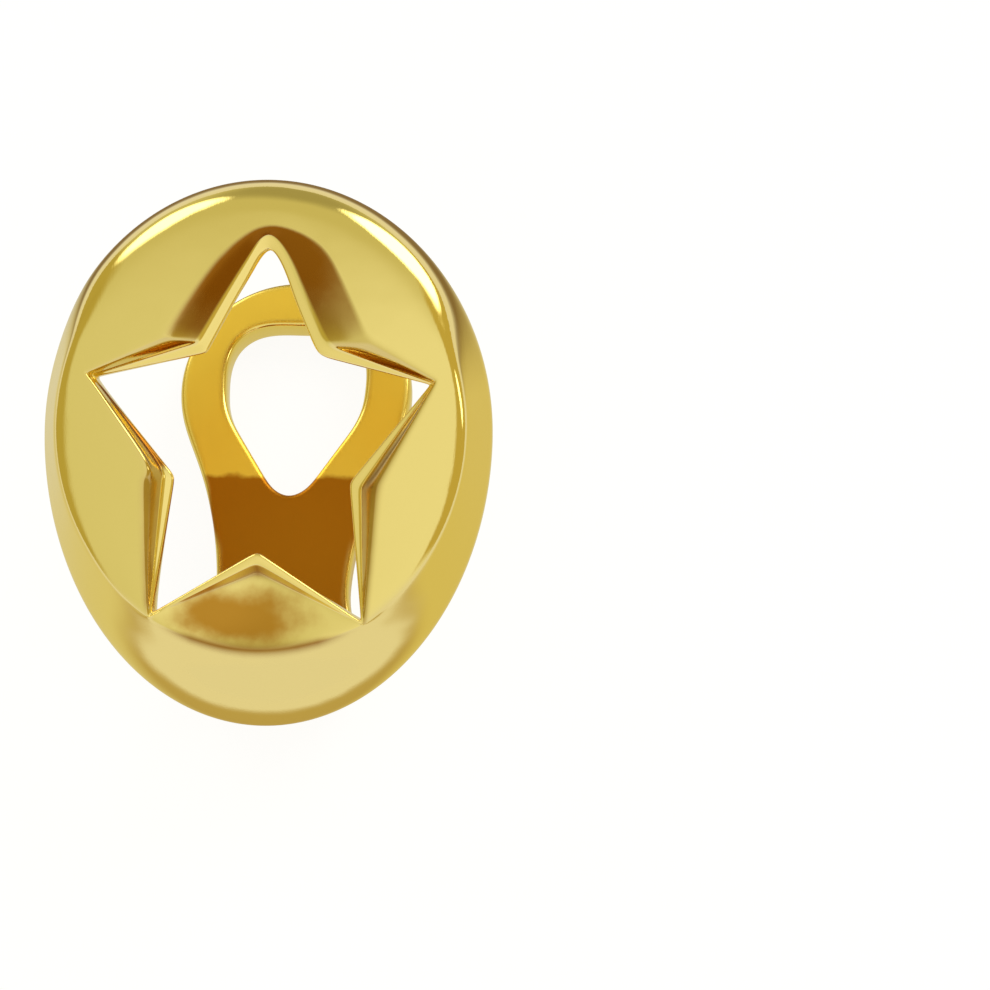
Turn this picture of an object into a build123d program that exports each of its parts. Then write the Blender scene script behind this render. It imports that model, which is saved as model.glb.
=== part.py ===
"""Star tooth cover: a clip-on cap for one upper front tooth, cast in one piece.

An oval face plate, pierced by a five-pointed star, stands over the front of the tooth. A
short shelf passes under the biting edge, and a pierced strap lies along the back. The cap is
modelled as it lies on a table by itself: on the flat back of its strap, with its face up,
its gum side towards +Y and its biting edge towards -Y. Lengths are millimetres, angles are
degrees, and the origin is on the table, under the middle of the cap.
"""

import os
from math import atan2, cos, degrees, pi, radians, sin, sqrt, tan

from build123d import *

# The oval rim of the face plate, seen square on
plate_width = 9.0
plate_height = 11.0
widest_above_middle = 0.4
rim_edge = 0.35
rim_radius = 0.2

# The plate's front: a band and a chin slope up from the rim to a gently domed panel
band_depth = 1.1
band_side_inset = 0.6
band_top_inset = 0.65
chin_height = 1.6
dome_radius = 16.0
crease_radius = 0.6

# The hollow behind the plate
wall = 0.8
rim_land = 0.8
chin_land = 1.2
hollow_radius = 0.3

# How the plate stands over the strap
plate_lean = 18.0
rim_height = 4.2

# The star window, and how far its front edge flares outwards at each kind of corner
star_centre = 0.14
star_reach = 4.1
star_half_width = 3.28
star_waist = 2.2
star_corner_radius = 0.12
star_land = 0.95
flare_over_dome = 0.05
flare_at_tips = 0.26
flare_beside_top = 1.16
flare_beside_foot = 0.79
flare_at_tongue = 0.32
top_arm_bulge = 0.32

# The scoop in the tongue of metal between the star's two feet
scoop_reach = 4.0
scoop_length = 4.2
scoop_depth = 0.6

# The back strap and the drop-shaped hole in its head
strap_thickness = 0.7
strap_edge_radius = 0.15
head_radius = 2.55
head_centre = 2.7
waist_half_width = 1.45
foot_half_width = 1.7
flare_length = 0.6
foot_clearance = 0.8
hole_radius = 1.5
hole_centre = 2.65
hole_tip = 0.25
hole_tip_radius = 0.45

# The shelf under the biting edge, and the roundings where it meets the plate and the strap
shelf_thickness = 0.9
heel_radius = 0.8
shelf_flare_radius = 0.7
seat_radius = 0.4

lean = radians(plate_lean)
rim_plane = Plane(
    origin=(0, 0, rim_height),
    x_dir=(1, 0, 0),
    z_dir=(0, -sin(lean), cos(lean)),
)
rim_back = rim_plane.offset(-rim_edge)
strap_top = Plane.XY.offset(strap_thickness)
panel_middle = (chin_height - band_top_inset) / 2
panel_edge = (plate_height - chin_height - band_top_inset) / 2
dome_top = band_depth + dome_radius - sqrt(dome_radius**2 - panel_edge**2)
dome_centre = dome_top - dome_radius


def dome_height(along):
    """The dome's height over the rim plane, on the plate's middle line."""
    return dome_centre + sqrt(dome_radius**2 - (along - panel_middle) ** 2)


def carried_back(along, height):
    """Where a point of the rim's middle line, carried straight back, comes to a height over the table."""
    return along / cos(lean) + (rim_height - height) * tan(lean)


def lies_in(plane):
    """A filter for the edges that lie in a plane."""
    return lambda edge: all(abs(plane.to_local_coords(edge @ share).Z) < 0.001 for share in (0, 0.5, 1))


def oval(half_width, top, bottom, widest):
    """An egg: half an ellipse above its widest line, and half of a deeper one below it."""
    with BuildSketch() as egg:
        with BuildLine():
            EllipticalCenterArc((0, widest), half_width, top - widest, 0, arc_size=180)
            EllipticalCenterArc((0, widest), half_width, widest - bottom, 180, arc_size=180)
        make_face()
    return egg.sketch


def front_section(share):
    """The plate's outline at a share of the band's depth: 0 is the rim, 1 the panel's edge."""
    half_width = plate_width / 2 - share * band_side_inset
    top = plate_height / 2 - share * band_top_inset
    bottom = -plate_height / 2 + share * chin_height
    widest = widest_above_middle + share * (panel_middle - widest_above_middle)
    return half_width, top, bottom, widest


def hollow_section(share):
    """The hollow's outline at the same share of the band's depth."""
    half_width, top, bottom, widest = front_section(share)
    return half_width - rim_land, top - rim_land, bottom + chin_land, widest


def star(tips, beside_top, beside_foot, tongue, bulge):
    """The star, with its tips grown outwards, its waists sideways and its tongue downwards."""
    spread = star_half_width / (star_reach * cos(pi / 10))

    def corner(radius, angle, sideways, downwards):
        turn = radians(angle)
        return (spread * radius * cos(turn) + sideways, star_centre + radius * sin(turn) - downwards)

    top = corner(star_reach + tips, 90, 0, 0)
    beside_top_corner = corner(star_waist, 54, beside_top, 0)
    side = corner(star_reach + tips, 18, 0, 0)
    beside_foot_corner = corner(star_waist, -18, beside_foot, 0)
    foot = corner(star_reach + tips, -54, 0, 0)
    tongue_corner = corner(star_waist, -90, 0, tongue)
    with BuildSketch() as outline:
        with BuildLine():
            if bulge:
                SagittaArc(top, beside_top_corner, bulge)
            else:
                Line(top, beside_top_corner)
            Polyline(beside_top_corner, side, beside_foot_corner, foot, tongue_corner)
            mirror(about=Plane.YZ)
        make_face()
        fillet(outline.vertices(), star_corner_radius)
    return outline.sketch


# The solid front, before it is hollowed: sloping sides, cut off by the dome
with BuildPart(rim_plane) as front_form:
    with BuildSketch(rim_plane.offset(-rim_edge)):
        add(oval(*front_section(0)))
    extrude(amount=rim_edge)
    with BuildSketch(rim_plane):
        add(oval(*front_section(0)))
    with BuildSketch(rim_plane.offset(2 * band_depth)):
        add(oval(*front_section(2)))
    loft(ruled=True)
    with Locations((0, panel_middle, dome_centre)):
        Sphere(dome_radius, mode=Mode.INTERSECT)
    fillet(front_form.faces().filter_by(GeomType.SPHERE).edges(), crease_radius)

# The hollow: the same form, a wall's thickness smaller, and open at the back
with BuildPart(rim_plane) as hollow_form:
    with BuildSketch(rim_plane.offset(-band_depth)):
        add(oval(*hollow_section(-1)))
    with BuildSketch(rim_plane.offset(2 * band_depth)):
        add(oval(*hollow_section(2)))
    loft(ruled=True)
    with Locations((0, panel_middle, dome_centre)):
        Sphere(dome_radius - wall, mode=Mode.INTERSECT)
    fillet(hollow_form.faces().filter_by(GeomType.SPHERE).edges(), hollow_radius)

# The star cutter: straight through the wall, then flaring until it is clear of the dome
with BuildPart(rim_plane) as star_cutter:
    with BuildSketch(rim_plane):
        add(star(0, 0, 0, 0, 0))
    extrude(amount=star_land)
    with BuildSketch(rim_plane.offset(star_land)):
        add(star(0, 0, 0, 0, 0))
    with BuildSketch(rim_plane.offset(dome_top + flare_over_dome)):
        add(star(flare_at_tips, flare_beside_top, flare_beside_foot, flare_at_tongue, top_arm_bulge))
    loft(ruled=True)

# The scoop is part of a ball that dips into the dome between two points of its middle line
scoop_low = Vector(0, -scoop_reach, dome_height(-scoop_reach))
scoop_high = Vector(0, scoop_length - scoop_reach, dome_height(scoop_length - scoop_reach))
scoop_middle = scoop_length / 2 - scoop_reach
scoop_floor = Vector(0, scoop_middle, dome_height(scoop_middle) - scoop_depth)
scoop_arc = Edge.make_three_point_arc(scoop_low, scoop_floor, scoop_high)
with BuildPart(rim_plane) as scoop_cutter:
    with Locations(scoop_arc.arc_center):
        Sphere(scoop_arc.radius)

# The strap's foot starts clear of the shelf's inner face, at its side, and ends inside the shelf
half_width, top, bottom, widest = front_section(0)
foot_share = foot_half_width / (half_width - shelf_thickness)
shelf_side_along = widest - (widest - bottom - shelf_thickness) * sqrt(1 - foot_share**2)
foot_start = carried_back(shelf_side_along, strap_thickness) + foot_clearance
foot_end = carried_back(bottom + shelf_thickness / 2, 0)
waist_centre = foot_start + flare_length

# The strap's outline: a round head, an arc in to the waist and an arc out to the foot
waist_drop = head_centre - waist_centre
waist_gain = head_radius - waist_half_width
waist_radius = (waist_drop**2 + waist_half_width**2 - head_radius**2) / (2 * waist_gain)
waist_turn = atan2(-waist_drop, waist_half_width + waist_radius)
with BuildPart() as strap:
    with BuildSketch():
        with BuildLine():
            head = CenterArc((0, head_centre), head_radius, 90, degrees(waist_turn) - 90)
            waist = TangentArc(head @ 1, (waist_half_width, waist_centre), tangent=head % 1)
            flare = TangentArc(waist @ 1, (foot_half_width, foot_start), tangent=waist % 1)
            Polyline(flare @ 1, (foot_half_width, foot_end), (0, foot_end))
            mirror(about=Plane.YZ)
        make_face()
    extrude(amount=strap_thickness)
    with BuildSketch():
        with Locations((0, hole_centre)):
            Circle(hole_radius)
        with Locations((0, hole_tip + hole_tip_radius)):
            Circle(hole_tip_radius)
        make_hull()
    extrude(amount=strap_thickness, mode=Mode.SUBTRACT)

# The shelf follows the foot of the oval back from the rim to the table. Its sides flare out
# in quarter circles where they meet the rim.
shelf_side = Plane(origin=rim_plane.origin, x_dir=(1, 0, 0), z_dir=-rim_plane.y_dir)
with BuildPart() as shelf:
    with BuildSketch(rim_plane):
        add(oval(half_width, top, bottom, widest))
        add(
            oval(half_width - shelf_thickness, top - shelf_thickness, bottom + shelf_thickness, widest),
            mode=Mode.SUBTRACT,
        )
        with Locations((0, bottom)):
            Rectangle(plate_width, plate_height, mode=Mode.INTERSECT)
    extrude(amount=-rim_height)
    with BuildSketch(shelf_side):
        with BuildLine():
            wide = foot_half_width + shelf_flare_radius
            flare_end = (foot_half_width, -rim_edge - shelf_flare_radius)
            Polyline((0, 0), (wide, 0), (wide, -rim_edge))
            TangentArc((wide, -rim_edge), flare_end, tangent=(-1, 0))
            Polyline(flare_end, (foot_half_width, -rim_height), (0, -rim_height))
            mirror(about=Plane.YZ)
        make_face()
    extrude(amount=plate_height, both=True, mode=Mode.INTERSECT)
    split(bisect_by=Plane.XY, keep=Keep.TOP)

with BuildPart() as star_tooth_cap:
    add(front_form.part)
    add(hollow_form.part, mode=Mode.SUBTRACT)
    add(star_cutter.part, mode=Mode.SUBTRACT)
    add(scoop_cutter.part, mode=Mode.SUBTRACT)
    add(shelf.part)
    add(strap.part)
    # Inside and outside of the heel, where the strap turns up into the shelf
    fillet(star_tooth_cap.edges().filter_by(lies_in(strap_top)).sort_by(Axis.Y)[0], seat_radius)
    fillet(star_tooth_cap.edges().filter_by(lies_in(Plane.XY)).sort_by(Axis.Y)[0], heel_radius)
    # The plate's back edge, inside and then outside, and on down the sides of the shelf
    inside = star_tooth_cap.edges().filter_by(lies_in(rim_back)).filter_by(GeomType.BSPLINE)
    fillet(inside.sort_by(Axis.Y)[-3:], rim_radius)
    outside = star_tooth_cap.edges().filter_by(lies_in(rim_back)).filter_by(GeomType.ELLIPSE)
    fillet(outside.sort_by(Axis.Y)[1:], rim_radius)
    # The strap's own edges, beyond its foot
    strap_edges = star_tooth_cap.edges().filter_by(lies_in(strap_top))
    strap_edges += star_tooth_cap.edges().filter_by(lies_in(Plane.XY))
    fillet(strap_edges.filter_by(lambda edge: edge.center().Y > waist_centre), strap_edge_radius)

star_tooth_cap.part.label = "star_tooth_cap"
os.makedirs("parts", exist_ok=True)
export_step(star_tooth_cap.part, "parts/star_tooth_cap.step")
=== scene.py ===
"""The looks of the star tooth cover: one gold-plated casting, lying on a lit white table."""

from collections import namedtuple
from math import acos, atan2, cos, pi, radians, sin, sqrt, tan

import bmesh
import bpy
from mathutils import Matrix, Vector


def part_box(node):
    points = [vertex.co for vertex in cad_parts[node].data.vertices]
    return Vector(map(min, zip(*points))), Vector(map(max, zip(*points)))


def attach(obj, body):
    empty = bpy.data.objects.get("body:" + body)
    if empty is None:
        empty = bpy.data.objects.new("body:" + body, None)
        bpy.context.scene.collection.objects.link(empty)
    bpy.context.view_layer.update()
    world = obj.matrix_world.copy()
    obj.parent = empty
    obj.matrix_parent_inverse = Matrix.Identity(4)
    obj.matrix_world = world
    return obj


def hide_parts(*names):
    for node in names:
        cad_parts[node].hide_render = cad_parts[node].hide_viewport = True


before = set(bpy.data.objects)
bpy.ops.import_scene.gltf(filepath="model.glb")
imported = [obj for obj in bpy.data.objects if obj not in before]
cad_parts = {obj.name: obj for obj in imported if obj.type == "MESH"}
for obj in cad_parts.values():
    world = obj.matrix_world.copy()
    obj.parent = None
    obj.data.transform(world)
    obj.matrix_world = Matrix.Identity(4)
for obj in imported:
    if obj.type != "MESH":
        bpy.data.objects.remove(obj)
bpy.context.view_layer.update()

# Face plate: the front of the casting, an oval shell of brass with a domed panel, and round it
# a band and a chin that slope back to the rim. Its wax was carved with all that follows, cast
# in one piece, filed and polished. Millimetres, seen square on, with heights over the rim.
low_corner, high_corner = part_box("star_tooth_cap")
plate_width = 1000 * (high_corner[0] - low_corner[0])
plate_height = 10.9
widest_above_middle = 0.4
rim_edge = 0.35
band_depth = 1.1
band_side_inset = 0.45
band_top_inset = 0.65
chin_height = 1.6
top_radius = 0.9
chin_bow = 0.08
dome_radius = 16.0
wall = 0.8
rim_land = 0.8
chin_land = 1.2
shelf_land = 0.25
panel_middle = (chin_height - band_top_inset) / 2
panel_edge = (plate_height - chin_height - band_top_inset) / 2
dome_centre = band_depth - sqrt(dome_radius**2 - panel_edge**2)
plate_steps = 40

Outline = namedtuple("Outline", "half_width top bottom widest")


def blend(start, end, share):
    """A number or a place part of the way from one to another."""
    return start + (end - start) * share


def ease(share):
    """A share from 0 to 1 that sets off and arrives gently."""
    share = min(max(share, 0), 1)
    return share * share * (3 - 2 * share)


def rising(value, start, end):
    """A share that rises gently from 0 to 1 between two levels of a value."""
    return ease((value - start) / (end - start))


def front_outline(share, land=0.0, foot_land=0.0):
    """The plate's outline at a share of the band's depth: 0 is the rim, 1 the panel's edge."""
    return Outline(
        plate_width / 2 - share * band_side_inset - land,
        plate_height / 2 - share * band_top_inset - land,
        -plate_height / 2 + share * chin_height + foot_land,
        blend(widest_above_middle, panel_middle, share),
    )


def egg(turn, outline):
    """A point of an oval: half an ellipse above its widest line, a deeper half below it."""
    reach = outline.top - outline.widest if sin(turn) > 0 else outline.widest - outline.bottom
    return Vector((outline.half_width * cos(turn), outline.widest + reach * sin(turn)))


def dome(place, radius=dome_radius):
    """The height of the dome, or of the hollow's ceiling under it."""
    return dome_centre + sqrt(radius**2 - place.x**2 - (place.y - panel_middle) ** 2)


def band(place):
    """The height of the sloping band, found from the outline that passes through the place."""
    low, high = -1.0, 3.0
    halvings = 24
    for _ in range(halvings):
        share = (low + high) / 2
        outline = front_outline(share)
        above = place.y - outline.widest
        reach = outline.top - outline.widest if above > 0 else outline.widest - outline.bottom
        inside = (place.x / outline.half_width) ** 2 + (above / reach) ** 2 < 1
        low, high = (share, high) if inside else (low, share)
    return band_depth * low


def top_roll(share):
    """The height of the roll that takes the band's place at the top, at a share of its width."""
    tilts = [1 - part * band_top_inset / top_radius for part in (share, 1)]
    drop = sqrt(1 - tilts[1] ** 2) - sqrt(1 - tilts[0] ** 2)
    return band_depth - top_radius * drop


# Star window: cut through the plate. A narrow lip lies round its edge, made bright by a painted
# highlight, and outside the lip the metal rolls up to the dome, browned there by painted shade.
StarCorner = namedtuple("StarCorner", "reach lip across along rounding stain")

# One row for each corner, leftwards from the top: how far it lies from the star's middle, how
# wide its lip is, its roll across and along, how rounded it is, and how much painted shade its roll
# gets
star_corners = [
    StarCorner(4.05, 0.27, 0.00, 0.09, 0.75, 1.00),
    StarCorner(2.20, 0.23, -0.62, 0.05, 0.14, 0.30),
    StarCorner(4.08, 0.07, -0.06, 0.03, 0.10, 0.20),
    StarCorner(2.06, 0.20, -0.32, 0.02, 0.20, 0.50),
    StarCorner(4.10, 0.08, -0.04, -0.03, 0.12, 0.50),
    StarCorner(2.06, 0.22, 0.00, -0.20, 0.22, 0.70),
    StarCorner(4.16, 0.08, 0.04, -0.03, 0.14, 0.40),
    StarCorner(2.20, 0.22, 0.36, 0.02, 0.20, 0.60),
    StarCorner(4.10, 0.07, 0.06, 0.03, 0.10, 0.30),
    StarCorner(2.20, 0.23, 0.86, 0.10, 0.34, 0.30),
]

# Its ten sides are numbered like the corners that they start from, and crossed in four steps
left_flank, right_flank = 0, 9
tongue_sides = (4, 5)
tongue_corner = 5
arm_corner = 2
arm_rise = radians(18)
side_steps = plate_steps // len(star_corners)
tongue_step = tongue_corner * side_steps
star_centre = 0.14
star_half_width = 3.28
star_land = 1.05
lip_rise = 0.02
roll_start = 0.12
roll_start_height = 0.16
roll_middle = 0.5
roll_middle_height = 0.60
# Painted shade, brown, on the star's roll and wall and on the left arm's lip
roll_end_painted_shade = 0.9
left_flank_bulge = 0.2
right_flank_bulge = 0.5
flank_skew = 0.6
tip_fullness = {1: -0.03, plate_steps - 1: 0.06}
tip_shift = 0.06
wall_painted_shade = 0.3
wall_support = 0.06
thinnest_wall = 0.25
# A painted highlight: the lip of the star is painted palest gold, below 0
painted_highlight_lip, painted_highlight_lip_outside = -1, -0.8
left_arm_steps = range(9, 12)
left_arm_push = 0.4
left_arm_painted_shade = 0.8
star_slimness = star_half_width / (star_corners[arm_corner].reach * cos(arm_rise))

# The scoop in the tongue of metal between the star's feet follows a ball that dips into the
# dome between two points of its middle line
scoop_foot, scoop_head = [Vector((along, dome(Vector((0, along))))) for along in (-4.0, 0.2)]
scoop_depth = 0.7
scoop_chord_middle = (scoop_foot + scoop_head) / 2
scoop_floor = Vector((scoop_chord_middle.x, dome(Vector((0, scoop_chord_middle.x))) - scoop_depth))
scoop_up = (scoop_head - scoop_foot).orthogonal().normalized()
scoop_sag = scoop_chord_middle - scoop_floor
scoop_half_chord = (scoop_head - scoop_foot).length / 2
scoop_lift = (scoop_half_chord**2 - scoop_sag.length_squared) / (2 * scoop_sag.dot(scoop_up))
scoop_ball = scoop_chord_middle + scoop_lift * scoop_up
scoop_radius = (scoop_ball - scoop_foot).length


def scoop(place):
    """The height of the scoop's ball over a place, where it is cut into the plate."""
    inside = scoop_radius**2 - place.x**2 - (place.y - scoop_ball.x) ** 2
    return scoop_ball.y - sqrt(max(0, inside))


def front(place, scooped=True):
    """The height of the plate's front, before the star is cut."""
    height = min(dome(place), band(place))
    return min(height, scoop(place)) if scooped else height


def star_corner(number, lip, roll):
    """A corner of the star, pushed out by shares of its lip and of its roll."""
    row = star_corners[number % len(star_corners)]
    turn = radians(90 + 360 * number / len(star_corners))
    towards = Vector((star_slimness * cos(turn), sin(turn)))
    place = row.reach * towards + lip * row.lip * towards.normalized()
    if row is star_corners[0]:
        place.x += tip_shift
    return place + Vector((roll * row.across, star_centre + roll * row.along))


def star_place(step, lip=0.0, roll=0.0):
    """A point of the star's outline, pushed out by shares of its lip and of its roll."""
    number, part = divmod(step, side_steps)
    if step in left_arm_steps:
        lip, roll = left_arm_push * lip, left_arm_push * roll
    start, end = star_corner(number, 0, 0), star_corner(number + 1, 0, 0)
    length = (end - start).length
    start_rounding = star_corners[number % len(star_corners)].rounding
    end_rounding = star_corners[(number + 1) % len(star_corners)].rounding
    share = (0, start_rounding / length, 0.5, 1 - end_rounding / length)[part]
    place = blend(star_corner(number, lip, roll), star_corner(number + 1, lip, roll), share)
    outward = Vector((end.y - start.y, start.x - end.x)).normalized()
    if number == left_flank:
        place += roll * left_flank_bulge * sin(pi * share**flank_skew) * outward
    if number == right_flank:
        place += roll * right_flank_bulge * sin(pi * (1 - share) ** flank_skew) * outward
    return place + tip_fullness.get(step, 0) * outward


def star_painted_shade(step):
    """How much painted shade the star's roll gets, beside a point of its outline."""
    number, part = divmod(step, side_steps)
    if number in tongue_sides:
        closeness = 1 - abs(step - tongue_step) / side_steps
        return star_corners[tongue_corner].stain * closeness**2
    share = part / side_steps
    if number == left_flank:
        share = share**3
    if number == right_flank:
        share = 1 - (1 - share) ** 2
    next_number = (number + 1) % len(star_corners)
    return blend(star_corners[number].stain, star_corners[next_number].stain, share)


# Where a section crosses the panel, how near its points lie to the star and to the crease
near_support = 0.16
crease_support = 0.13
top_crease_support = 0.12

# Where it crosses the band, the shares of the band's depth at which its points lie
foot_crease_inset = 0.1
crease_roll = 0.13
rim_roll = 0.12
bottom_rim_roll = 0.18
top_roll_shares = (0.61, 0.29, 0.07)

# Between which levels the plate counts as its top, its left and the foot of its tongue
top_levels = (0.3, 0.65)
left_levels = (0.5, 0.9)
tongue_levels = (0.85, 0.97)
# Painted shade in the crease, at the left and under the tongue
left_crease_painted_shade = 0.2
tongue_crease_painted_shade = 0.7

# Down the hollow's wall: shares of the band's depth, and heights until it meets the ceiling
hollow_wall = ((-0.18, -0.2), (0.1, 0.11), (0.3, None))
star_clearance = 0.22


def plate_section(step):
    """A section of the plate, from the star's back edge over the front and the rim to the hollow:
    for each of its points the place, the height and the painted shade, which is below 0 for a
    painted highlight."""
    turn = radians(90 + 360 * step / plate_steps)
    from_tongue = abs(step - tongue_step)
    top_share = rising(sin(turn), *top_levels)
    foot_share = max(0, 1 - abs(from_tongue - side_steps) / 2)
    bottom_share = max(0, -sin(turn)) ** 3
    stain = star_painted_shade(step)

    # The star's wall, lip and roll
    edge = star_place(step)
    lip = star_place(step, lip=1)
    roll_end = star_place(step, lip=1, roll=1)
    roll_foot = blend(lip, roll_end, roll_start)
    roll_rise = blend(lip, roll_end, roll_middle)
    lip_height = min(star_land, front(edge, scooped=False))
    lip_end_height = min(star_land + lip_rise, front(lip, scooped=False))
    roll_end_height = front(roll_end)
    back_height = min(dome(edge, dome_radius - wall), lip_height - thinnest_wall)
    on_left_arm = step in left_arm_steps
    section = [
        (edge, back_height, 0),
        (edge, lip_height - wall_support, wall_painted_shade),
        (edge, lip_height, left_arm_painted_shade if on_left_arm else painted_highlight_lip),
        (lip, lip_end_height, left_arm_painted_shade if on_left_arm else painted_highlight_lip_outside),
        (roll_foot, blend(lip_end_height, roll_end_height, roll_start_height), stain),
        (roll_rise, blend(lip_end_height, roll_end_height, roll_middle_height), stain),
        (roll_end, roll_end_height, roll_end_painted_shade * stain),
    ]

    # The panel, out to its crease, which is soft at the top, with a brown line of painted shade in
    # the crease at the left and under the tongue
    crease_share = 1 - foot_crease_inset * foot_share
    crease = egg(turn, front_outline(crease_share))
    left_line = left_crease_painted_shade * rising(-cos(turn), *left_levels)
    tongue_line = tongue_crease_painted_shade * rising(-sin(turn), *tongue_levels)
    out = crease - roll_end
    support = min(crease_support + top_crease_support * top_share, 0.35 * out.length)
    near = roll_end + min(near_support, 0.25 * out.length) * out.normalized()
    far = crease - support * out.normalized()
    section += [
        (near, front(near), 0),
        ((near + far) / 2, front((near + far) / 2), 0),
        (far, front(far), 0),
        (crease, front(crease, scooped=False), max(left_line, tongue_line)),
    ]

    # The band or chin, which rolls over at the top, the rim, and the land behind it
    rim_share = rim_roll + bottom_rim_roll * bottom_share
    band_share = (crease_share + rim_share) / 2
    for side_share, top_roll_share, bow in (
        (crease_share - crease_roll, top_roll_shares[0], 0),
        (band_share, top_roll_shares[1], 0),
        (rim_share, top_roll_shares[2], chin_bow),
        (0, 0, 0),
    ):
        share = blend(side_share, top_roll_share, top_share)
        height = blend(band_depth * side_share, top_roll(share), top_share) + bow * bottom_share
        section.append((egg(turn, front_outline(share)), height, 0))
    rim = egg(turn, front_outline(0))
    hollow_share = -rim_edge / band_depth
    shelf_share = min(1, max(0, (side_steps + 1 - from_tongue) / 2))
    foot_land = chin_land + shelf_land * shelf_share
    hollow_edge = egg(turn, front_outline(hollow_share, rim_land, foot_land))
    section += [
        (rim, -rim_edge / 2, 0),
        (rim, -rim_edge, 0),
        (blend(rim, hollow_edge, 0.3), -rim_edge, 0),
        (blend(rim, hollow_edge, 0.8), -rim_edge, 0),
        (hollow_edge, -rim_edge, 0),
    ]

    # The hollow, whose ceiling keeps clear of the star's wall
    behind = edge - Vector((0, star_centre))
    for share, wall_height in hollow_wall:
        place = egg(turn, front_outline(share, rim_land, foot_land if share < 0 else chin_land))
        if (place - edge).dot(behind) < star_clearance * behind.length:
            place = edge + star_clearance * behind.normalized()
        height = dome(place, dome_radius - wall) if wall_height is None else wall_height
        section.append((place, height, 0))
    ceiling = (place + edge) / 2
    ceiling_height = min(dome(ceiling, dome_radius - wall), (back_height + height) / 2)
    section.append((ceiling, ceiling_height, 0))
    return [Vector((place.x, place.y, height, stain)) for place, height, stain in section]


def lay(ring, points):
    """Moves the vertices of a ring to their points, whose fourth number is their painted shading.
    """
    for vertex, point in zip(ring, points):
        vertex.co = point.xyz
        vertex[shading_layer] = point.w


def ring_edges(mesh, ring):
    """The edges of a closed ring of vertices."""
    return [mesh.edges.get((ring[number - 1], ring[number])) for number in range(len(ring))]


def draw_out(mesh, ring, points):
    """Draws a closed ring of vertices out to new points, and returns the new ring."""
    made = bmesh.ops.extrude_edge_only(mesh, edges=ring_edges(mesh, ring))["geom"]
    new = {element for element in made if isinstance(element, bmesh.types.BMVert)}
    drawn = []
    for vertex in ring:
        ends = [edge.other_vert(vertex) for edge in vertex.link_edges]
        drawn.append(next(end for end in ends if end in new))
    lay(drawn, points)
    return drawn


casting = bmesh.new()
shading_name = "stain"
shading_layer = casting.verts.layers.float.new(shading_name)
sections = [plate_section(step) for step in range(plate_steps)]
first_ring = bmesh.ops.create_circle(casting, segments=plate_steps, radius=plate_width / 4)["verts"]
lay(first_ring, [section[0] for section in sections])
plate_rings = [first_ring]
for points in list(zip(*sections))[1:]:
    plate_rings.append(draw_out(casting, plate_rings[-1], points))
closing = ring_edges(casting, plate_rings[-1]) + ring_edges(casting, first_ring)
bmesh.ops.bridge_loops(casting, edges=closing)

# The plate leans over the strap by 18 degrees, with its gum side up
lean = radians(18)
rim_height = 4.2
plate_tilt = Matrix.Translation((0, 0, rim_height)) @ Matrix.Rotation(lean, 4, "X")
bmesh.ops.transform(casting, matrix=plate_tilt, verts=casting.verts)

# Shelf: passes under the biting edge of the tooth, from the land behind the rim to the strap.
# It is the same casting, so it is drawn out of the plate's mesh, round the heel and on along
# the strap, as a tube with seven points across its front, seven across its back, and two sides.
shelf_thickness = 0.9
strap_thickness = 0.7
foot_half_width = 1.7
waist_half_width = 1.45
across_shares = (-1, -0.88, -0.45, 0, 0.45, 0.88, 1)
# The back edges of the shelf and strap get a faint painted reflection
edge_painted_reflection = 0.1
land_ring = 16
shelf_steps = range(tongue_step - 3, tongue_step + 4)


def carried_back(along, height):
    """Where a point of the plate's middle line, carried straight back, comes to a height."""
    return along / cos(lean) + (rim_height - height) * tan(lean)


def shelf_point(across, inset, floor, beyond, stain):
    """A point of the shelf's outer or inner face, before its bend, or beyond it on the strap."""
    rim = front_outline(0)
    reach = rim.widest - rim.bottom - inset
    along = rim.widest - reach * sqrt(1 - (across / (rim.half_width - inset)) ** 2)
    corner = carried_back(along, floor)
    if beyond > 0:
        return Vector((across, corner + beyond, floor, stain))
    return Vector((across, corner + beyond * sin(lean), floor - beyond * cos(lean), stain))


def tube_section(half_width, outer, inner):
    """The sixteen points of a section of the shelf or strap, from its outer and inner faces."""
    front_row = [outer(share * half_width) for share in across_shares]
    back_row = [inner(share * half_width) for share in reversed(across_shares)]
    right_side = (front_row[-1] + back_row[0]) / 2
    left_side = (front_row[0] + back_row[-1]) / 2
    back_row[0].w = back_row[-1].w = edge_painted_reflection
    return [*front_row, right_side, *back_row, left_side]


land = []
for number in (land_ring, land_ring + 1):
    for step in shelf_steps[:-1]:
        near_ring, far_ring = plate_rings[number], plate_rings[number + 1]
        land.append(casting.faces.get((
            near_ring[step], near_ring[step + 1], far_ring[step + 1], far_ring[step])))
tube = [plate_rings[land_ring][step] for step in shelf_steps]
tube.append(plate_rings[land_ring + 1][shelf_steps[-1]])
tube += [plate_rings[land_ring + 2][step] for step in reversed(shelf_steps)]
tube.append(plate_rings[land_ring + 1][shelf_steps[0]])
bmesh.ops.delete(casting, geom=land, context="FACES")

# Down the shelf: how much wider it is than the strap's foot, and how far its outer and inner
# faces are from their bends
for flare, outer_beyond, inner_beyond in (
    (0.13, -1.95, -1.45),
    (0.00, -1.50, -1.05),
    (0.00, -0.90, -0.55),
    (0.00, -0.32, -0.16),
    (0.00, 0.32, 0.16),
):
    tube = draw_out(casting, tube, tube_section(
        foot_half_width + flare,
        lambda across: shelf_point(across, 0, 0, outer_beyond, 0),
        lambda across: shelf_point(across, shelf_thickness, strap_thickness, inner_beyond, 1),
    ))

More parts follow.
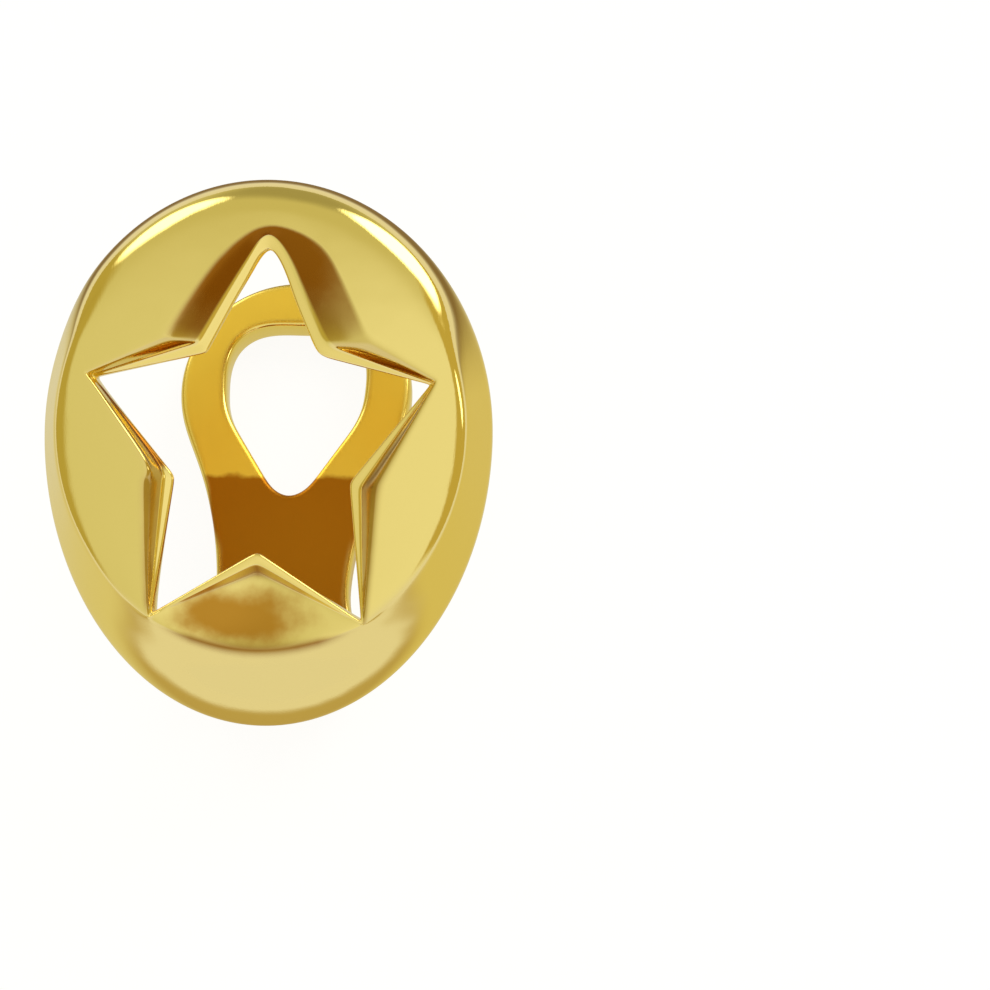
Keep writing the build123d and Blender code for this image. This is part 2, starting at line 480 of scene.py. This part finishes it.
# Back strap: lies along the back of the tooth, wide and round at its head and narrow at its
# waist, with a drop-shaped hole. Still the same casting, its edges rounded by polishing.
head_radius = 2.55
head_centre = 2.7
waist_centre = -1.68
hole_radius = 1.5
hole_centre = 2.65
hole_tip = 0.25
hole_tip_radius = 0.45
hole_fullness = 0.18
strap_edge = 0.2
# The strap's top is painted amber, a painted reflection of the gold round it
strap_painted_reflection = 1
hole_tip_painted_reflection = 0.8
hole_tip_steps = (6, 9)
junction = -0.35
junction_support = 0.25
head_steps = 24
half_head_steps = head_steps // 2
mouth_step = 9
waist_drop = head_centre - waist_centre
waist_gain = head_radius - waist_half_width
waist_radius = (waist_drop**2 + waist_half_width**2 - head_radius**2) / (2 * waist_gain)
waist_turn = pi / 2 + atan2(waist_drop, waist_half_width + waist_radius)


def strap_half_width(along):
    """Half the strap's width below its head, on the waist's arc."""
    return waist_half_width + waist_radius - sqrt(waist_radius**2 - (along - waist_centre) ** 2)


# Along the strap: where its underside and its top are cut, how far that cut is bowed, and how
# wide the strap is there
for under_along, top_along, bow, half_width in (
    (-3.20, -2.90, 0.08, foot_half_width),
    (-2.40, -2.40, 0.00, 1.52),
    (-2.00, -2.00, 0.00, 1.42),
    (-1.60, -1.60, 0.00, 1.41),
    (-1.00, -1.00, 0.00, 1.47),
):
    tube = draw_out(casting, tube, tube_section(
        half_width,
        lambda across: Vector((across, under_along + bow * across**2, 0, 0)),
        lambda across: Vector((across, top_along + bow * across**2, strap_thickness, strap_painted_reflection)),
    ))


def head_point(travel):
    """A point of the strap's outline, at a distance along it from the top of the head."""
    turn = travel / head_radius
    if turn < waist_turn:
        return Vector((head_radius * sin(turn), head_centre + head_radius * cos(turn)))
    turn = waist_turn + (head_radius * waist_turn - travel) / waist_radius
    middle = Vector((waist_half_width + waist_radius, waist_centre))
    return middle - waist_radius * Vector((sin(turn), cos(turn)))


hole_drop = hole_centre - hole_tip - hole_tip_radius
hole_side = sqrt(hole_drop**2 - (hole_radius - hole_tip_radius) ** 2)
hole_turn = pi / 2 + atan2(hole_radius - hole_tip_radius, hole_side)
hole_length = hole_radius * hole_turn + hole_side + hole_tip_radius * (pi - hole_turn)
junction_turn = acos((waist_centre - junction) / waist_radius)
head_length = head_radius * waist_turn + waist_radius * (waist_turn - junction_turn)


def hole_point(travel):
    """A point of the drop-shaped hole, at a distance along its edge from the top."""
    turn = travel / hole_radius
    if turn < hole_turn:
        reach = hole_radius * (1 + hole_fullness * max(0, sin(2 * turn)) ** 2)
        return Vector((reach * sin(turn), hole_centre + reach * cos(turn)))
    out = Vector((sin(hole_turn), cos(hole_turn)))
    beyond = travel - hole_radius * hole_turn
    if beyond < hole_side:
        return Vector((0, hole_centre)) + hole_radius * out + beyond * Vector((out.y, -out.x))
    turn = hole_turn + (beyond - hole_side) / hole_tip_radius
    tip_middle = Vector((0, hole_tip + hole_tip_radius))
    return tip_middle + hole_tip_radius * Vector((sin(turn), cos(turn)))


def head_section(step):
    """A section of the strap's head, from the side of its hole over the top to the underside."""
    from_top = min(step, head_steps - step)
    hole = hole_point(from_top * hole_length / half_head_steps)
    in_head = from_top < mouth_step
    if in_head:
        rim = head_point(from_top * head_length / mouth_step)
    else:
        across = across_shares[step - mouth_step]
        rim = Vector((abs(across) * strap_half_width(junction), junction))
    if step < half_head_steps:
        hole.x, rim.x = -hole.x, -rim.x
    out = (rim - hole).normalized()
    inner = hole + strap_edge * out
    outer = rim - (strap_edge if in_head else junction_support) * out
    middle = (inner + outer) / 2
    rim_painted_reflection = edge_painted_reflection if in_head else strap_painted_reflection
    hole_painted_reflection = hole_tip_painted_reflection * rising(from_top, *hole_tip_steps)
    top_painted_reflections = (hole_painted_reflection, strap_painted_reflection, strap_painted_reflection, strap_painted_reflection, rim_painted_reflection)
    top = zip((hole, inner, middle, outer, rim), [strap_thickness] * 5, top_painted_reflections)
    under = zip((rim, outer, middle, inner, hole), [0] * 5, [0] * 5)
    hole_wall = (hole, strap_thickness / 2, hole_painted_reflection)
    rim_wall = (rim, strap_thickness / 2, 0)
    section = [hole_wall, *top, rim_wall, *under]
    return [Vector((place.x, place.y, height, stain)) for place, height, stain in section]


sections = [head_section(step) for step in range(head_steps)]
first_ring = bmesh.ops.create_circle(casting, segments=head_steps, radius=hole_radius)["verts"]
lay(first_ring, [section[0] for section in sections])
head_rings = [first_ring]
for points in list(zip(*sections))[1:]:
    head_rings.append(draw_out(casting, head_rings[-1], points))
closing = ring_edges(casting, head_rings[-1]) + ring_edges(casting, first_ring)
bmesh.ops.bridge_loops(casting, edges=closing)

# The head opens where the strap runs into it
top_rim, side_rim, under_rim = head_rings[5:8]
opened = []
for near_ring, far_ring in ((top_rim, side_rim), (side_rim, under_rim)):
    for step in range(mouth_step, head_steps - mouth_step):
        opened.append(casting.faces.get((
            near_ring[step], near_ring[step + 1], far_ring[step + 1], far_ring[step])))
bmesh.ops.delete(casting, geom=opened, context="FACES")
mouth_steps = range(mouth_step, head_steps - mouth_step + 1)
mouth = [under_rim[step] for step in mouth_steps] + [side_rim[mouth_steps[-1]]]
mouth += [top_rim[step] for step in reversed(mouth_steps)] + [side_rim[mouth_step]]
bmesh.ops.bridge_loops(casting, edges=ring_edges(casting, tube) + ring_edges(casting, mouth))

bmesh.ops.recalc_face_normals(casting, faces=casting.faces)
for face in casting.faces:
    face.smooth = True
bmesh.ops.transform(casting, matrix=Matrix.Scale(0.001, 4), verts=casting.verts)


def order(element):
    """A number that puts edges and faces in the same order each run, by their vertices."""
    numbers = [vertex.index for vertex in element.verts]
    return min(numbers) * len(casting.verts) + max(numbers)


casting.verts.index_update()
casting.edges.sort(key=order)
casting.faces.sort(key=order)
cap_mesh = bpy.data.meshes.new("polished_cap")
casting.to_mesh(cap_mesh)
casting.free()
cap = bpy.data.objects.new("polished_cap", cap_mesh)
bpy.context.scene.collection.objects.link(cap)
flow = cap.modifiers.new("flow", "SUBSURF")
flow.levels = flow.render_levels = 3

# Gold plating: yellow gold, a few thousandths of a millimetre thick, on the polished brass. It
# is mirror bright, palest on the lip of the star, a painted highlight, and painted amber to
# brown in the corners and inside as painted shade and reflection. Seen close, the polish is a
# little wavy.
# Palest gold is a painted highlight on the star's lip
painted_highlight_gold = (1.00, 0.80, 0.24)
yellow_gold = (0.93, 0.755, 0.22)
# Amber and deep brown are painted reflections on the strap; the other browns are painted shade
amber_painted_reflection = (1.00, 0.68, 0.08)
deep_painted_reflection = (0.46, 0.17, 0.007)
brown_painted_shade = (0.31, 0.11, 0.006)
dish_painted_shade = (0.50, 0.215, 0.006)
brown_along = 0.00078
brown_softness = 0.00014
raggedness = 0.0003
inside_height = 0.0027
inside_softness = 0.0004
inside_dullness = 0.15
mottling = 0.05
bare_roughness = 0.05
painted_shade_roughness = 0.28
dish_x = -0.0003
dish_y = -0.00335
dish_half_width = 0.0013
dish_half_height = 0.00056
dish_floor = 0.0032
dish_strength = 0.9
cloud_size = 0.0006
wave_length = 0.0007
wave_depth = 0.000008
scratch_depth = 0.06
scratch_length = 0.0015
scratch_width = 0.00003
scratch_turn = radians(20)
scratch_roughness = 0.04
plating = bpy.data.materials.new("yellow_gold_plating")
plating.use_nodes = True
gold = plating.node_tree
shader = gold.nodes["Principled BSDF"]
shader.inputs["Metallic"].default_value = 1


def number(tree, operation, *values):
    """The output of a new math node."""
    node = tree.nodes.new("ShaderNodeMath")
    node.operation = operation
    for socket, value in zip(node.inputs, values):
        if isinstance(value, (int, float)):
            socket.default_value = value
        else:
            tree.links.new(value, socket)
    return node.outputs["Value"]


def between(tree, value, low, high, start=0.0, end=1.0):
    """A smooth step of a value, from one level to another."""
    node = tree.nodes.new("ShaderNodeMapRange")
    node.interpolation_type = "SMOOTHSTEP"
    tree.links.new(value, node.inputs["Value"])
    node.inputs["From Min"].default_value = low
    node.inputs["From Max"].default_value = high
    node.inputs["To Min"].default_value = start
    node.inputs["To Max"].default_value = end
    return node.outputs["Result"]


def mixed(tree, share, first, second):
    """A mix of two colours, by a share."""
    node = tree.nodes.new("ShaderNodeMix")
    node.data_type = "RGBA"
    tree.links.new(share, node.inputs["Factor"])
    for socket, value in ((node.inputs[6], first), (node.inputs[7], second)):
        if isinstance(value, tuple):
            socket.default_value = (*value, 1)
        else:
            tree.links.new(value, socket)
    return node.outputs[2]


def noise(tree, coordinates, size, detail):
    """A cloudy pattern whose clouds have a size."""
    node = tree.nodes.new("ShaderNodeTexNoise")
    tree.links.new(coordinates, node.inputs["Vector"])
    node.inputs["Scale"].default_value = 1 / size
    node.inputs["Detail"].default_value = detail
    return node.outputs["Fac"]


places = gold.nodes.new("ShaderNodeTexCoord").outputs["Object"]
along_up = gold.nodes.new("ShaderNodeSeparateXYZ")
gold.links.new(places, along_up.inputs["Vector"])
shading_attribute = gold.nodes.new("ShaderNodeAttribute")
shading_attribute.attribute_name = shading_name
clouds = noise(gold, places, cloud_size, 4)

# The painted shading is an amber painted reflection on the strap, a brown painted reflection of
# shade low down inside, up to a ragged line, and brown painted shade beside the star
ragged = number(gold, "MULTIPLY_ADD", clouds, raggedness, along_up.outputs["Y"])
low_down = between(gold, ragged, brown_along + brown_softness, brown_along)
inside = between(gold, along_up.outputs["Z"], inside_height, inside_height - inside_softness)
kind = mixed(gold, inside, brown_painted_shade, mixed(gold, low_down, amber_painted_reflection, deep_painted_reflection))
mottle = between(gold, clouds, 0.3, 0.7, 1 - mottling, 1 + mottling)
mottled = number(gold, "MULTIPLY", shading_attribute.outputs["Fac"], mottle)

# In the dish of the tongue the painted shade is a cloudy patch
dish = gold.nodes.new("ShaderNodeMapping")
dish.inputs["Scale"].default_value = (1 / dish_half_width, 1 / dish_half_height, 0)
dish.inputs["Location"].default_value = (-dish_x / dish_half_width, -dish_y / dish_half_height, 0)
gold.links.new(places, dish.inputs["Vector"])
from_dish = gold.nodes.new("ShaderNodeVectorMath")
from_dish.operation = "LENGTH"
gold.links.new(dish.outputs["Vector"], from_dish.inputs[0])
cloudy_edge = number(gold, "ADD", from_dish.outputs["Value"], clouds)
on_front = between(gold, along_up.outputs["Z"], dish_floor, dish_floor + 0.0002)
off_lip = between(gold, shading_attribute.outputs["Fac"], -0.3, -0.05)
in_dish = between(gold, cloudy_edge, 1.8, 1.0, 0, dish_strength)
in_dish = number(gold, "MULTIPLY", number(gold, "MULTIPLY", in_dish, on_front), off_lip)

# The painted shade lies over the plating, which is palest, a painted highlight, where the painted
# shading is below 0, on the lip
colour = mixed(gold, between(gold, mottled, -0.8, -0.1), painted_highlight_gold, yellow_gold)
# Painted shade in the dish of the tongue
colour = mixed(gold, in_dish, colour, dish_painted_shade)
colour = mixed(gold, between(gold, mottled, 0.05, 0.9), colour, kind)
gold.links.new(colour, shader.inputs["Base Color"])

# Polishing waves, and fine scratches that run along the cap
waves = noise(gold, places, wave_length, 1)
stretched = gold.nodes.new("ShaderNodeMapping")
gold.links.new(places, stretched.inputs["Vector"])
stretched.inputs["Scale"].default_value = (1, scratch_width / scratch_length, 1)
stretched.inputs["Rotation"].default_value = (0, 0, scratch_turn)
scratches = noise(gold, stretched.outputs["Vector"], scratch_width, 2)
scratched = between(gold, scratches, 0.5, 0.75)
painted_inside = number(gold, "MULTIPLY", inside, mottled)
roughness = between(gold, mottled, 0, 1, bare_roughness, painted_shade_roughness)
roughness = number(gold, "MULTIPLY_ADD", painted_inside, inside_dullness, roughness)
roughness = number(gold, "MULTIPLY_ADD", scratched, scratch_roughness, roughness)
gold.links.new(roughness, shader.inputs["Roughness"])
wavy = gold.nodes.new("ShaderNodeBump")
wavy.inputs["Distance"].default_value = wave_depth
relief = number(gold, "MULTIPLY_ADD", scratches, scratch_depth, waves)
gold.links.new(relief, wavy.inputs["Height"])
gold.links.new(wavy.outputs["Normal"], shader.inputs["Normal"])
cap_mesh.materials.append(plating)
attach(cap, "root")
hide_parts("star_tooth_cap")

# Table: a white sheet of acrylic, lit from below. The polished cap sees it bluish further off,
# and close by its glow is painted darker and warmer as painted shade, most of all just in front
# of it and in its own shade behind.
table_size = 0.3
sheet_grey = 0.12
sheet_roughness = 0.6
seen_white = (0.92, 0.915, 0.90)
far_white = (0.71, 0.71, 0.96)
# Painted shade round the cap: the glow close by, seen only in reflections
left_painted_shade = (0.63, 0.60, 0.48)
right_painted_shade = (0.60, 0.53, 0.29)
front_painted_shade = (0.42, 0.32, 0.16)
back_shade = (0.14, 0.07, 0.01)
close_radius = 0.014
far_radius = 0.025
table_draft = bmesh.new()
bmesh.ops.create_grid(table_draft, x_segments=1, y_segments=1, size=table_size)
table_mesh = bpy.data.meshes.new("white_table")
table_draft.to_mesh(table_mesh)
table_draft.free()
table = bpy.data.objects.new("white_table", table_mesh)
bpy.context.scene.collection.objects.link(table)
acrylic = bpy.data.materials.new("white_acrylic")
acrylic.use_nodes = True
sheet = acrylic.node_tree
surface = sheet.nodes["Principled BSDF"]
surface.inputs["Base Color"].default_value = (sheet_grey, sheet_grey, sheet_grey, 1)
surface.inputs["Roughness"].default_value = sheet_roughness
surface.inputs["Specular IOR Level"].default_value = 0
surface.inputs["Emission Strength"].default_value = 1
spot = sheet.nodes.new("ShaderNodeTexCoord").outputs["Object"]
spot_parts = sheet.nodes.new("ShaderNodeSeparateXYZ")
sheet.links.new(spot, spot_parts.inputs["Vector"])
spot_across, spot_along = spot_parts.outputs["X"], spot_parts.outputs["Y"]
distance = sheet.nodes.new("ShaderNodeVectorMath")
distance.operation = "LENGTH"
sheet.links.new(spot, distance.inputs[0])
painted_shade_nearby = between(sheet, distance.outputs["Value"], far_radius, close_radius)
to_front = number(sheet, "MULTIPLY", spot_along, -1)
ahead = number(sheet, "MULTIPLY_ADD", number(sheet, "ABSOLUTE", spot_across), -0.5, to_front)
reflected = mixed(sheet, between(sheet, spot_across, -0.006, 0.006), left_painted_shade, right_painted_shade)
reflected = mixed(sheet, between(sheet, ahead, 0.002, 0.007), reflected, front_painted_shade)
reflected = mixed(sheet, between(sheet, spot_along, 0.004, 0.009), reflected, back_shade)
reflected = mixed(sheet, painted_shade_nearby, far_white, reflected)
seen = sheet.nodes.new("ShaderNodeLightPath")
glow = mixed(sheet, seen.outputs["Is Camera Ray"], reflected, seen_white)
sheet.links.new(glow, surface.inputs["Emission Color"])
table_mesh.materials.append(acrylic)

# Studio: a pale tent over the table and in front of it, warmer cloth and wood to its left and
# right, a soft box beyond each shoulder of the cap, and a small one at its right. Directions
# are turned into the plate's own: across, along and out.
left_wood = (0.50, 0.42, 0.16)
right_wood = (0.56, 0.45, 0.17)
left_tent = (0.72, 0.71, 0.62)
right_tent = (0.88, 0.88, 0.92)
upper_tent = (0.62, 0.59, 0.42)
top_tent = (0.40, 0.37, 0.25)
chin_tent = (0.81, 0.81, 1.06)
left_reach = 0.78

# One row for each soft box: where it stands, the cosines of the turns from there at which its
# light begins and is full, and how bright it is
SoftBox = namedtuple("SoftBox", "direction edge core strength")
soft_boxes = [
    SoftBox((-0.56, 0.80, 0.20), 0.95, 0.985, 3.0),
    SoftBox((0.56, 0.80, 0.20), 0.925, 0.965, 4.0),
    SoftBox((0.88, 0.18, 0.43), 0.988, 0.995, 2.5),
]
world = bpy.data.worlds.new("studio")
bpy.context.scene.world = world
world.use_nodes = True
studio = world.node_tree
directions = studio.nodes.new("ShaderNodeTexCoord")
turned = studio.nodes.new("ShaderNodeVectorRotate")
turned.rotation_type = "X_AXIS"
turned.inputs["Angle"].default_value = -lean
studio.links.new(directions.outputs["Generated"], turned.inputs["Vector"])
parts = studio.nodes.new("ShaderNodeSeparateXYZ")
studio.links.new(turned.outputs["Vector"], parts.inputs["Vector"])
across, along = parts.outputs["X"], parts.outputs["Y"]
wood = mixed(studio, between(studio, across, -0.3, 0.3), left_wood, right_wood)
tent = mixed(studio, between(studio, across, -0.7, 0.4), left_tent, right_tent)
tent = mixed(studio, between(studio, along, 0.25, 0.75), tent, upper_tent)
tent = mixed(studio, between(studio, along, 0.86, 0.99), tent, top_tent)
tent = mixed(studio, between(studio, along, -0.5, -0.8), tent, chin_tent)
aside = number(studio, "MAXIMUM", across, number(studio, "MULTIPLY", across, -left_reach))
above_chin = between(studio, along, -0.65, -0.45)
beside = number(studio, "MULTIPLY", between(studio, aside, 0.52, 0.62), above_chin)
light = mixed(studio, beside, tent, wood)
for soft_box in soft_boxes:
    facing = studio.nodes.new("ShaderNodeVectorMath")
    facing.operation = "DOT_PRODUCT"
    studio.links.new(turned.outputs["Vector"], facing.inputs[0])
    facing.inputs[1].default_value = Vector(soft_box.direction).normalized()
    lit = between(studio, facing.outputs["Value"], soft_box.edge, soft_box.core)
    light = mixed(studio, lit, light, (soft_box.strength,) * 3)
studio.links.new(light, studio.nodes["Background"].inputs["Color"])

# Camera: nearly square on to the face, a little to its right, and turned a little, so that the
# cap stands in the picture as in the photo
camera_place = (0.00663, -0.0007, 0.0473)
camera_turn = radians(2.5)
camera_roll = radians(1.5)
camera_data = bpy.data.cameras.new("camera")
camera_data.lens = 86.9
camera_data.sensor_width = 36
camera_data.clip_start = 0.001
camera = bpy.data.objects.new("camera", camera_data)
bpy.context.scene.collection.objects.link(camera)
stand = Matrix.Translation((0, 0, 0.001 * rim_height)) @ Matrix.Rotation(lean, 4, "X")
aim = Matrix.Rotation(camera_turn, 4, "Y") @ Matrix.Rotation(camera_roll, 4, "Z")
camera.matrix_world = stand @ Matrix.Translation(camera_place) @ aim
bpy.context.scene.camera = camera
bpy.context.scene.view_settings.view_transform = "Standard"
